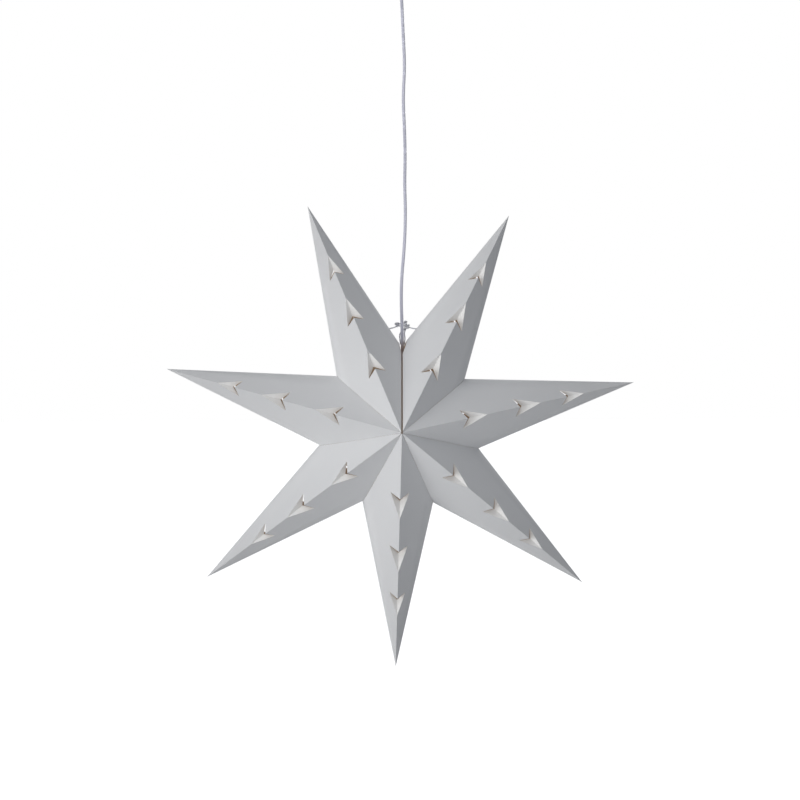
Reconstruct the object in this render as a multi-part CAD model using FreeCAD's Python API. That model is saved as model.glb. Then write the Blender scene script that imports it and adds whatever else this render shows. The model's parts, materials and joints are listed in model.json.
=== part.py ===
import FreeCAD
import Part
import math
import os

# Seven-armed folded paper star pendant. Millimetres, +Z up, the front of the star faces -Y.
# The origin is the middle of the mounting strap's top face, where the lamp meets the ceiling.

V = FreeCAD.Vector
Z_AXIS = V(0, 0, 1)
Y_AXIS = V(0, 1, 0)

# ---- paper star -------------------------------------------------------------------------
STAR_DROP = 710.0        # ceiling to the star's centre
STAR_ROLL = 1.4          # the star hangs turned this far clockwise, in degrees
ARM_COUNT = 7
VALLEY_RADIUS = 105.8    # centre to the notch between two arms
HALF_DEPTH = 72.0        # centre plane to the front or back apex
TIP_REACH = 306.0        # centre to an arm's tip
RIM_ROUND = 48.0         # how softly the paper rolls over at an arm's edge, at its root
PAPER = 0.4              # thickness of the card
GLUE_GAP = 0.1           # glue film between two arms' tabs
TAB_WIDTH = 8.0          # tab that each arm glues to the next one
TAB_END_RADIUS = 6.0     # tabs stop this far from the axis
APEX_HOLE_RADIUS = 1.2   # the small hole where the seven arms meet
SEAM_GAP = 1.8           # the open seam between the first arm and the last
SEAM_MOUTH_DROP = 8.0    # the seam's corners are pressed apart from this far below the notch ...
SEAM_MOUTH_RISE = 8.0    # ... to this far above it, where they stand off the seam by:
SEAM_MOUTH_LEFT = 2.7
SEAM_MOUTH_RIGHT = 6.6

# Each arm: its node, how far its tip leans clockwise (degrees), and how much further it reaches.
ARMS = (
    ("arm_1_top_right", 0.1, 3.1),
    ("arm_2_right", 0.5, 4.0),
    ("arm_3_lower_right", 0.3, 6.6),
    ("arm_4_bottom", -0.5, 5.0),
    ("arm_5_lower_left", -0.4, 9.0),
    ("arm_6_left", 0.3, 3.7),
    ("arm_7_top_left", 1.9, 3.8),
)

# Each cut-out on a ridge: where its outer point, its notch and its wings lie along the arm,
# and how far the wings reach to each side.
CUTOUTS = (
    {"point": 112.6, "notch": 86.9, "wing": 78.2, "half_width": 12.1},
    {"point": 183.4, "notch": 156.3, "wing": 148.6, "half_width": 11.8},
    {"point": 241.9, "notch": 219.2, "wing": 210.9, "half_width": 10.3},
)

# ---- string tie -------------------------------------------------------------------------
STRING_DIA = 1.8
STRING_HOLE_CLEARANCE = 0.3
STRING_HOLE_RISE = 23.0      # this far above the seam's notch, as for the heights below
KNOT_RADIUS = 2.4
LEFT_KNOT = (-3.2, -0.6, 28.4)
RIGHT_KNOT = (10.8, -0.6, 26.6)
WRAP_RISE = 21.5             # the turns of string round the cord
WRAP_TURNS = 4
WRAP_CLEARANCE = 0.8
TAIL_POINTS = ((7.6, 3.4, 22.0), (0.4, 5.2, 17.4), (1.6, 4.8, 2.4))

# ---- cord -------------------------------------------------------------------------------
CORD_DIA = 5.0           # width of the flat twin cord
CORD_X = 3.8             # where the cord stands in the seam
CORD_NOTCH_CLEARANCE = 0.6
SLIDE_CLEARANCE = 0.7    # between the cord and the cup's bush that slides on it
SWING_HEIGHT = -135.0    # the swing's pivot, below the lowered cup
SWING_X = 0.45
SWING_CUT = 0.4          # half the gap between the cord's two lengths
# The cord's way from the swing's pivot into the lampholder: (x, y, height above the star's centre).
CORD_ROUTE = (
    (2.9, 0.5, 548.0),
    (4.6, 0.8, 508.0),
    (6.9, 0.9, 465.0),
    (4.4, 0.2, 425.0),
    (6.3, -0.8, 388.0),
    (7.3, -0.4, 350.0),
    (6.5, 0.5, 314.0),
    (7.8, 0.8, 282.0),
    (6.7, 0.6, 238.0),
    (1.5, 0.1, 182.0),
    (CORD_X, 0.0, 122.0),
    (CORD_X, 0.0, 62.0),
)

# ---- lampholder: heights are above the star's centre --------------------------------------
HOLDER_TOP = 88.0        # the top of the tapered sleeve that spares the cord
HOLDER_RADIUS = 14.0
HOLDER_WALL = 1.6
HOLDER_SHOULDER = 66.0
HOLDER_NECK_RADIUS = 6.5
HOLDER_NECK_HEIGHT = 6.0
RELIEF_TIP_RADIUS = 3.6
HOLDER_JOINT = 46.0      # where the cap meets the skirt
HOLDER_MOUTH = 12.0
HOLDER_LAP = 4.0         # the skirt's spigot inside the cap
INSERT_RADIUS = 11.0
INSERT_BOTTOM = 38.0
INSERT_HEIGHT = 9.0
LEDGE_RADIUS = 9.5
LEDGE_THICKNESS = 2.0
SHELL_WALL = 0.5
SHELL_LENGTH = 21.0
CONTACT_SIZE = V(7.0, 3.0, 0.5)
TERMINAL_SIZE = V(4.0, 6.0, 5.0)
TERMINAL_X = 6.0
TERMINAL_SCREW_RADIUS = 1.4
CORE_RADIUS = 0.9
CORE_OFFSET = 1.3

# ---- bulb -------------------------------------------------------------------------------
CAP_RADIUS = 6.95        # screw cap of the bulb
CAP_CLEARANCE = 0.1
CAP_LENGTH = 17.0
CAP_WALL = 0.4
THREAD_PITCH = 2.822
THREAD_DEPTH = 0.6
INSULATOR_HEIGHT = 3.0
INSULATOR_RADIUS = 5.2
TIP_RADIUS = 2.6
TIP_HEIGHT = 1.2
TIP_CLEARANCE = 0.1
GLOBE_RADIUS = 22.5
GLOBE_WALL = 1.0
BULB_LENGTH = 79.0
COLLAR_MOUTH_RADIUS = 19.3
COLLAR_WALL = 1.2
LED_BOARD_THICKNESS = 1.2
LED_SIZE = V(2.8, 2.8, 0.7)
LED_COUNT = 8
LED_RING_RADIUS = 11.0

# ---- ceiling plate, hook and clamp ------------------------------------------------------
PLATE_RADIUS = 40.0
PLATE_THICKNESS = 1.5
SLOT_SPACING = 50.0
SLOT_RADIUS = 2.25
SLOT_TRAVEL = 5.0
STAPLE_RADIUS = 1.5
STAPLE_SPAN = 12.0
STAPLE_DROP = 12.5       # plate to the staple's centre line
HOOK_RADIUS = 1.3
HOOK_Y = 5.0
HOOK_DEPTH = 9.0
CLAMP_TOP = -24.0
CLAMP_SIZE = V(20.0, 18.0, 20.0)
CLAMP_GRIP = 0.05        # play between the clamp and the cord
CLAMP_SPLIT = 0.4        # gap between the clamp's halves
CLAMP_SCREW_X = 6.8
CLAMP_SCREW_RADIUS = 1.5
SCREW_HEAD_RADIUS = 2.6
SCREW_HEAD = 1.6
CORD_TOP = -22.0
FIT = 0.05               # play between pieces that are screwed together

# ---- terminal block ---------------------------------------------------------------------
BLOCK_SIZE = V(22.0, 14.0, 11.0)
BLOCK_Y = 16.0           # its near face
BLOCK_WAY_X = 6.0
BLOCK_WAY_RADIUS = 1.4
BLOCK_WAY_DEPTH = 6.0
BLOCK_SCREW_RADIUS = 1.5
BLOCK_SCREW_DEPTH = 4.0

# ---- ceiling cup ------------------------------------------------------------------------
CUP_RADIUS = 46.0
CUP_TOP = -0.5
CUP_HEIGHT = 54.0
CUP_SHOULDER = 12.0      # height of the sloping part above the foot
CUP_FOOT_RADIUS = 16.0
CUP_WALL = 2.0
CUP_DROP = 50.0          # how far it slides down the cord
BUSH_NECK_RADIUS = 5.0
BUSH_RADIUS = 8.0
BUSH_TIP_RADIUS = 4.6
BUSH_LENGTH = 20.0
NUT_FLATS = 14.0
NUT_HEIGHT = 3.0
SET_SCREW_RADIUS = 1.5
SET_SCREW_HEAD_RADIUS = 3.0
SET_SCREW_HEAD = 3.0
SET_SCREW_CLEARANCE = 0.35

star_at = V(0, 0, -STAR_DROP)
cord_radius = CORD_DIA / 2
seam_notch = VALLEY_RADIUS * math.cos(math.radians(STAR_ROLL))
string_hole_height = seam_notch + STRING_HOLE_RISE


# ---- helpers ----------------------------------------------------------------------------
def cylinder(radius, height, base, axis=Z_AXIS):
    return Part.makeCylinder(radius, height, base, axis)


def ring(outer, inner, height, base, axis=Z_AXIS):
    return cylinder(outer, height, base, axis).cut(cylinder(inner, height, base, axis))


def turned(profile, centre):
    """A solid turned about the vertical through centre from (radius, height) points."""
    points = [centre + V(r, 0, z) for r, z in profile]
    face = Part.Face(Part.makePolygon(points + points[:1]))
    return face.revolve(centre, Z_AXIS, 360)


def prism(points, along):
    return Part.Face(Part.makePolygon(list(points) + [points[0]])).extrude(along)


def hexagon(flats, height, base):
    corner = flats / math.sqrt(3)
    angles = [math.radians(60 * k) for k in range(6)]
    return prism([base + V(corner * math.cos(t), corner * math.sin(t), 0) for t in angles], V(0, 0, height))


def box(size, middle_of_base):
    """A box that stands on middle_of_base."""
    return Part.makeBox(size.x, size.y, size.z, middle_of_base - V(size.x / 2, size.y / 2, 0))


def at_star(x, y, height):
    return star_at + V(x, y, height)


def headed_screw(radius, length, head_radius, head, seat, into):
    """A slotted screw: its head stands on seat, and its shank goes the way of into."""
    into = V(into).normalize()
    screw = cylinder(radius, length, seat, into).fuse(cylinder(head_radius, head, seat, -into))
    across = Z_AXIS if abs(into.z) < 0.5 else V(1, 0, 0)
    side = into.cross(across).normalize()
    half_slot = side * 0.35
    reach = across * (head_radius + 1)
    low = seat - into * (head - 0.7)
    corners = [low + half_slot + reach, low - half_slot + reach,
               low - half_slot - reach, low + half_slot - reach]
    return screw.cut(prism(corners, -into * 2)).removeSplitter()


def tube_path(points):
    """Straight runs joined by tangent arcs, and the arcs' radii."""
    edges = []
    radii = []
    start = points[0]
    for before, corner, after in zip(points, points[1:], points[2:]):
        into = (corner - before).normalize()
        out = (after - corner).normalize()
        turn = into.getAngle(out)
        if turn < 1e-6:
            continue
        cut = 0.45 * min((corner - before).Length, (after - corner).Length)
        radii.append(cut / math.tan(turn / 2))
        enter = corner - into * cut
        leave = corner + out * cut
        bisector = (out - into).normalize()
        middle = corner + bisector * (radii[-1] / math.cos(turn / 2) - radii[-1])
        edges.append(Part.LineSegment(start, enter).toShape())
        edges.append(Part.Arc(enter, middle, leave).toShape())
        start = leave
    edges.append(Part.LineSegment(start, points[-1]).toShape())
    return Part.Wire(edges), radii


def tube(points, radius, name):
    path, radii = tube_path(points)
    section = Part.Wire(Part.makeCircle(radius, points[0], points[1] - points[0]))
    solid = path.makePipeShell([section], True, False)
    share = solid.Volume / (math.pi * radius ** 2 * path.Length)
    arcs = ", ".join(f"{r:.0f}" for r in radii)
    print(f"{name}: length {path.Length:.1f}, volume {share:.4f} of section x length, arc radii {arcs}")
    return solid


def export(node, shape):
    shape = shape.removeSplitter()
    for solid in shape.Solids:
        if not solid.isValid() or solid.Volume <= 0:
            print("BAD SOLID in", node)
    Part.makeCompound(shape.Solids).exportStep(os.path.join("parts", node + ".step"))
    print(f"{node}: {len(shape.Solids)} solid(s), {shape.Volume:.1f} mm3")


# ---- paper arm --------------------------------------------------------------------------
# An arm is a cone: every section across it is the same rounded diamond, smaller towards the tip.
# It is built standing up along +Z from the star's centre, its width along X.
sector_half = math.pi / ARM_COUNT
valley_height = VALLEY_RADIUS * math.cos(sector_half)
valley_width = VALLEY_RADIUS * math.sin(sector_half)


def section_facts(reach, lean, side):
    """One half of the root section: its width, and its flat side's tangent point, normal and distance."""
    toward = side * lean
    half_width = toward + (valley_width - toward) * reach / (reach - valley_height)
    arc_centre = half_width - RIM_ROUND
    slant = math.hypot(arc_centre, HALF_DEPTH)
    normal = math.pi / 2 - math.atan2(HALF_DEPTH, arc_centre) + math.asin(RIM_ROUND / slant)
    tangent = (arc_centre + RIM_ROUND * math.cos(normal), RIM_ROUND * math.sin(normal))
    return half_width, tangent, normal, HALF_DEPTH * math.sin(normal)


def root_section(reach, lean):
    front, back = V(0, -HALF_DEPTH, 0), V(0, HALF_DEPTH, 0)
    edges = []
    for side, start, end in ((1, front, back), (-1, back, front)):
        half_width, (tx, ty), _, _ = section_facts(reach, lean, side)
        enter, leave = V(side * tx, -side * ty, 0), V(side * tx, side * ty, 0)
        edges.append(Part.LineSegment(start, enter).toShape())
        edges.append(Part.Arc(enter, V(side * half_width, 0, 0), leave).toShape())
        edges.append(Part.LineSegment(leave, end).toShape())
    return Part.Wire(edges)


def sector(left_inset, right_inset, length):
    """The wedge that an arm may fill, with its two side planes moved in by the insets."""
    low, high = V(0, -HALF_DEPTH - 1, 0), V(0, 2 * HALF_DEPTH + 2, 0)
    wide = length * math.tan(sector_half)
    left = left_inset / math.cos(sector_half)
    right = right_inset / math.cos(sector_half)
    left_low = left / math.tan(sector_half)
    right_low = right / math.tan(sector_half)
    top = low + V(0, 0, length)
    side_left = prism([low + V(0, 0, left_low), top, top + V(left - wide, 0, 0)], high)
    side_right = prism([low + V(0, 0, right_low), top, top + V(wide - right, 0, 0)], high)
    return side_left.fuse(side_right).removeSplitter()


def tab(side, inset):
    """The glue tab along one side plane: a bent band that follows the valley inwards."""
    slant = math.hypot(HALF_DEPTH, VALLEY_RADIUS)
    inner_s = VALLEY_RADIUS - TAB_WIDTH * slant / HALF_DEPTH
    inner_y = HALF_DEPTH - TAB_WIDTH * slant / VALLEY_RADIUS
    along = V(side * math.sin(sector_half), 0, math.cos(sector_half))
    inward = V(-side * math.cos(sector_half), 0, math.sin(sector_half))
    outline = [(0, -HALF_DEPTH - 5), (VALLEY_RADIUS + 5, 0), (0, HALF_DEPTH + 5), (0, inner_y),
               (inner_s, 0), (0, -inner_y)]
    points = [along * s + Y_AXIS * y + inward * inset for s, y in outline]
    return prism(points, inward * PAPER)


def mirrored(point, a, b, c):
    """point mirrored in the plane through a, b and c."""
    normal = (b - a).cross(c - a).normalize()
    return point - normal * (2 * (point - a).dot(normal))


def cutout_points(cutout, reach, lean):
    """The cut-out's corners on the front facets, leaning with the arm, and its pressed-in corner."""
    def on_facet(side, width, height):
        _, _, normal, distance = section_facts(reach, lean, side)
        depth = (distance * (1 - height / reach) - width * math.cos(normal)) / math.sin(normal)
        return V(side * width + lean * height / reach, -depth, height)

    point = on_facet(1, 0, cutout["point"])
    notch = on_facet(1, 0, cutout["notch"])
    left = on_facet(-1, cutout["half_width"], cutout["wing"])
    right = on_facet(1, cutout["half_width"], cutout["wing"])
    return point, notch, left, right, mirrored(notch, point, left, right)


def paper_arm(reach, lean, left_inset, right_inset):
    tip = V(lean, 0, reach)
    solid = Part.makeLoft([root_section(reach, lean), Part.Vertex(tip)], True, True)
    _, _, normal, distance = section_facts(reach, lean, 1)
    inward = PAPER * math.hypot(1, reach / distance)
    hollow = solid.translated(-V(tip).normalize() * inward)
    outer = solid.common(sector(left_inset, right_inset, reach + 1))
    arm = outer.cut(hollow)
    for side, inset in ((-1, left_inset), (1, right_inset)):
        arm = arm.fuse(tab(side, inset).common(outer))
    arm = arm.cut(cylinder(APEX_HOLE_RADIUS, 2 * HALF_DEPTH, V(0, -HALF_DEPTH, 0), Y_AXIS))
    tab_trim = HALF_DEPTH * (1 - TAB_END_RADIUS / VALLEY_RADIUS) - 3 * PAPER
    arm = arm.cut(cylinder(TAB_END_RADIUS, 2 * tab_trim, V(0, -tab_trim, 0), Y_AXIS))
    skin_depth = PAPER / math.sin(normal)
    for face in (1, -1):
        for cutout in CUTOUTS:
            corners = [V(p.x, p.y * face, p.z) for p in cutout_points(cutout, reach, lean)]
            point, notch, left, right, pressed = corners
            outline = [V(p.x, -face * (HALF_DEPTH + 1), p.z) for p in (point, left, notch, right)]
            arm = arm.cut(prism(outline, V(0, left.y + face * 4 - outline[0].y, 0)))
            for wing in (left, right):
                arm = arm.fuse(prism([point, wing, pressed], V(0, face * skin_depth, 0)))
    return arm


def placed_arm(shape, index):
    """The arm turned to its place in the star, and hung at the star's height."""
    clock = STAR_ROLL + (index + 0.5) * 360 / ARM_COUNT
    shape = shape.copy()
    shape.rotate(V(0, 0, 0), Y_AXIS, clock)
    shape.translate(star_at)
    return shape


def string_hole_point(side):
    """Where the string goes through the rim of the top arm on that side (1 is right)."""
    arm = ARMS[0] if side > 0 else ARMS[-1]
    clock = math.radians(STAR_ROLL + side * 180 / ARM_COUNT + arm[1])
    tip = V(math.sin(clock), 0, math.cos(clock)) * (TIP_REACH + arm[2])
    seam = math.radians(STAR_ROLL)
    notch = V(math.sin(seam), 0, math.cos(seam)) * VALLEY_RADIUS
    share = (string_hole_height - notch.z) / (tip.z - notch.z)
    return notch + (tip - notch) * share


def make_arms():
    relief_top = at_star(CORD_X, 0, HOLDER_TOP)
    relief_notch = cylinder(RELIEF_TIP_RADIUS + 2 * CORD_NOTCH_CLEARANCE, 10, relief_top - V(0, 0, 8))
    cord_notch = cylinder(cord_radius + CORD_NOTCH_CLEARANCE, 2 * STRING_HOLE_RISE, relief_top)
    low = seam_notch - SEAM_MOUTH_DROP
    seam_x = low * math.tan(math.radians(STAR_ROLL))
    flare = (SEAM_MOUTH_DROP + STRING_HOLE_RISE) / (SEAM_MOUTH_DROP + SEAM_MOUTH_RISE)
    mouth = [at_star(x, -HALF_DEPTH, h) for x, h in (
        (seam_x - SEAM_GAP / 2, low), (seam_x + SEAM_GAP / 2, low),
        (seam_x + SEAM_MOUTH_RIGHT * flare, string_hole_height),
        (seam_x - SEAM_MOUTH_LEFT * flare, string_hole_height))]
    seam_cut = cord_notch.fuse(relief_notch).fuse(prism(mouth, V(0, 2 * HALF_DEPTH, 0)))
    for index, (node, lean_deg, extra) in enumerate(ARMS):
        reach = TIP_REACH + extra
        left = SEAM_GAP / 2 if index == 0 else GLUE_GAP / 2
        right = SEAM_GAP / 2 if index == len(ARMS) - 1 else GLUE_GAP / 2
        lean = reach * math.tan(math.radians(lean_deg))
        arm = placed_arm(paper_arm(reach, lean, left, right), index)
        if index in (0, len(ARMS) - 1):
            side = 1 if index == 0 else -1
            hole_at = star_at + string_hole_point(side)
            hole = cylinder(STRING_DIA / 2 + STRING_HOLE_CLEARANCE, 16, hole_at - V(8, 0, 0), V(1, 0, 0))
            arm = arm.cut(seam_cut).cut(hole)
        export(node, arm)


# ---- string -----------------------------------------------------------------------------
def make_tie():
    string = STRING_DIA / 2
    wrap_radius = cord_radius + WRAP_CLEARANCE + string
    wrap = None
    for turn in range(WRAP_TURNS):
        height = seam_notch + WRAP_RISE + turn * STRING_DIA * 0.95
        loop = Part.makeTorus(wrap_radius, string, at_star(CORD_X, 0, height))
        wrap = loop if wrap is None else wrap.fuse(loop)
    export("tie_wrap", wrap)
    cord_way = cylinder(cord_radius + WRAP_CLEARANCE, 2 * STRING_HOLE_RISE, at_star(CORD_X, 0, seam_notch))
    keep_clear = cord_way.fuse(wrap)
    for name, side, (x, y, rise) in (("left", -1, LEFT_KNOT), ("right", 1, RIGHT_KNOT)):
        knot = at_star(x, y, seam_notch + rise)
        hole = string_hole_point(side)
        inner = V(side * 5.0, 0, 0.5)
        points = [star_at + hole + inner, star_at + hole - V(side * 1.5, 0, 0), knot]
        run = tube(points, string, "string_" + name)
        stopper = Part.makeSphere(KNOT_RADIUS * 0.8, star_at + hole + inner)
        export("string_" + name, run.fuse(stopper))
        export("knot_" + name, Part.makeSphere(KNOT_RADIUS, knot).cut(keep_clear).cut(run))
    tail = [at_star(x, y, seam_notch + rise) for x, y, rise in TAIL_POINTS]
    export("string_tail", tube(tail, string, "string_tail").cut(keep_clear))


# ---- cord -------------------------------------------------------------------------------
def make_cords():
    upper = [V(0, 0, CORD_TOP), V(0, 0, (CORD_TOP + SWING_HEIGHT) / 2 - 5),
             V(SWING_X, 0.1, SWING_HEIGHT + SWING_CUT)]
    export("cord_upper", tube(upper, cord_radius, "cord_upper"))
    lower = [V(SWING_X, 0.1, SWING_HEIGHT - SWING_CUT)] + [at_star(*point) for point in CORD_ROUTE]
    export("cord_drop", tube(lower, cord_radius, "cord_drop"))


# ---- lampholder -------------------------------------------------------------------------
def make_lampholder():
    axis = at_star(CORD_X, 0, 0)
    cap_top = HOLDER_SHOULDER
    inner = HOLDER_RADIUS - HOLDER_WALL
    bore = cord_radius + FIT
    insert_top = INSERT_BOTTOM + INSERT_HEIGHT
    shell_bore = CAP_RADIUS + CAP_CLEARANCE
    neck_top = cap_top + HOLDER_NECK_HEIGHT
    grub_height = cap_top + HOLDER_NECK_HEIGHT / 2
    cap = turned([(bore, neck_top), (HOLDER_NECK_RADIUS, neck_top), (HOLDER_NECK_RADIUS, cap_top),
                  (HOLDER_RADIUS - 3, cap_top), (HOLDER_RADIUS, cap_top - 4), (HOLDER_RADIUS, HOLDER_JOINT),
                  (inner, HOLDER_JOINT), (inner, cap_top - 5), (inner - 3, cap_top - HOLDER_WALL),
                  (bore, cap_top - HOLDER_WALL)], axis)
    grub_length = HOLDER_NECK_RADIUS - cord_radius + 0.6
    grub_start = axis + V(-cord_radius, 0, grub_height)
    cap = cap.cut(cylinder(TERMINAL_SCREW_RADIUS + FIT, 8, grub_start, V(-1, 0, 0)))
    export("holder_cap", cap)
    export("holder_relief", turned([
        (bore, HOLDER_TOP), (RELIEF_TIP_RADIUS, HOLDER_TOP), (HOLDER_NECK_RADIUS - 0.8, neck_top + 2),
        (HOLDER_NECK_RADIUS - 0.8, neck_top), (bore, neck_top)], axis))
    export("holder_grub_screw", cylinder(TERMINAL_SCREW_RADIUS, grub_length, grub_start, V(-1, 0, 0)).cut(
        box(V(8, 0.6, 8), grub_start + V(-grub_length - 3.2, 0, -4))).cut(
        cylinder(cord_radius, 10, grub_start + V(cord_radius, 0, -5))))
    export("holder_skirt", turned([
        (HOLDER_RADIUS, HOLDER_MOUTH), (HOLDER_RADIUS, HOLDER_JOINT), (inner - FIT, HOLDER_JOINT),
        (inner - FIT, HOLDER_JOINT + HOLDER_LAP), (INSERT_RADIUS + FIT, HOLDER_JOINT + HOLDER_LAP),
        (INSERT_RADIUS + FIT, INSERT_BOTTOM), (LEDGE_RADIUS, INSERT_BOTTOM),
        (LEDGE_RADIUS, INSERT_BOTTOM - LEDGE_THICKNESS), (inner, INSERT_BOTTOM - LEDGE_THICKNESS),
        (inner, HOLDER_MOUTH)], axis))
    export("holder_insert", cylinder(INSERT_RADIUS, INSERT_HEIGHT, axis + V(0, 0, INSERT_BOTTOM)))
    export("holder_shell", ring(shell_bore + SHELL_WALL, shell_bore, SHELL_LENGTH,
                                axis + V(0, 0, INSERT_BOTTOM - SHELL_LENGTH)))
    export("holder_contact", box(CONTACT_SIZE, axis + V(0, 0, INSERT_BOTTOM - CONTACT_SIZE.z)))
    screw_y = TERMINAL_SIZE.y / 2
    cord_end = CORD_ROUTE[-1][2]
    for name, side in (("left", -1), ("right", 1)):
        foot = axis + V(side * TERMINAL_X, 0, insert_top)
        seat = foot + V(0, -screw_y, TERMINAL_SIZE.z / 2)
        screw_hole = cylinder(TERMINAL_SCREW_RADIUS + FIT, screw_y - 0.2, seat, Y_AXIS)
        export("holder_terminal_" + name, box(TERMINAL_SIZE, foot).cut(screw_hole))
        export("holder_screw_" + name, headed_screw(
            TERMINAL_SCREW_RADIUS, screw_y - 0.5, 2.0, 1.2, seat, Y_AXIS))
        core = [axis + V(side * CORE_OFFSET, 0, cord_end), axis + V(side * CORE_OFFSET, 0, cord_end - 3),
                axis + V(side * TERMINAL_X, 0, insert_top + TERMINAL_SIZE.z + 3),
                axis + V(side * TERMINAL_X, 0, insert_top + TERMINAL_SIZE.z)]
        export("holder_core_" + name, tube(core, CORE_RADIUS, "holder_core_" + name))


# ---- bulb -------------------------------------------------------------------------------
def make_bulb():
    axis = at_star(CORD_X, 0, 0)
    tip_top = INSERT_BOTTOM - CONTACT_SIZE.z - TIP_CLEARANCE
    cap_top = tip_top - TIP_HEIGHT - INSULATOR_HEIGHT
    cap_bottom = cap_top - CAP_LENGTH
    globe_centre = tip_top - BULB_LENGTH + GLOBE_RADIUS
    globe_rim = globe_centre + math.sqrt(GLOBE_RADIUS ** 2 - COLLAR_MOUTH_RADIUS ** 2)
    export("bulb_contact", cylinder(TIP_RADIUS, TIP_HEIGHT, axis + V(0, 0, tip_top - TIP_HEIGHT)))
    export("bulb_insulator", Part.makeCone(
        INSULATOR_RADIUS, TIP_RADIUS + 0.6, INSULATOR_HEIGHT, axis + V(0, 0, cap_top)))
    turns = int(CAP_LENGTH / THREAD_PITCH)
    crest = [(CAP_RADIUS, cap_bottom)]
    for k in range(turns):
        low = cap_bottom + 1.0 + k * (CAP_LENGTH - 1.0) / turns
        crest += [(CAP_RADIUS, low), (CAP_RADIUS - THREAD_DEPTH, low + THREAD_PITCH / 2)]
    crest.append((CAP_RADIUS - 0.3, cap_top))
    wall = [(r - CAP_WALL, h) for r, h in crest[:-1]] + [(crest[-1][0] - CAP_WALL, cap_top - CAP_WALL)]
    lid = [(0, cap_top), (0, cap_top - CAP_WALL)]
    export("bulb_screw_cap", turned(crest + lid + wall[::-1], axis))
    outline = [(CAP_RADIUS, cap_bottom), (CAP_RADIUS + 1.2, cap_bottom - 2),
               (CAP_RADIUS + 1.6, HOLDER_MOUTH - 1), (12.0, 5.0), (17.0, -2.0),
               (COLLAR_MOUTH_RADIUS, globe_rim)]
    inside = [(r - COLLAR_WALL, h) for r, h in outline[1:-1]]
    inside.append((COLLAR_MOUTH_RADIUS - COLLAR_WALL, globe_rim))
    export("bulb_collar", turned(outline + inside[::-1] + [(0, outline[1][1]), (0, cap_bottom)], axis))
    globe = Part.makeSphere(GLOBE_RADIUS, axis + V(0, 0, globe_centre)).cut(
        Part.makeSphere(GLOBE_RADIUS - GLOBE_WALL, axis + V(0, 0, globe_centre)))
    export("bulb_globe", globe.cut(cylinder(GLOBE_RADIUS, GLOBE_RADIUS, axis + V(0, 0, globe_rim))))
    board_base = globe_rim - LED_BOARD_THICKNESS
    board_radius = COLLAR_MOUTH_RADIUS - COLLAR_WALL - FIT
    board = cylinder(board_radius, LED_BOARD_THICKNESS, axis + V(0, 0, board_base))
    for k in range(LED_COUNT):
        turn = 2 * math.pi * k / LED_COUNT
        spot = V(LED_RING_RADIUS * math.cos(turn), LED_RING_RADIUS * math.sin(turn),
                 board_base - LED_SIZE.z)
        board = board.fuse(box(LED_SIZE, axis + spot))
    export("bulb_led_board", board)


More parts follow.
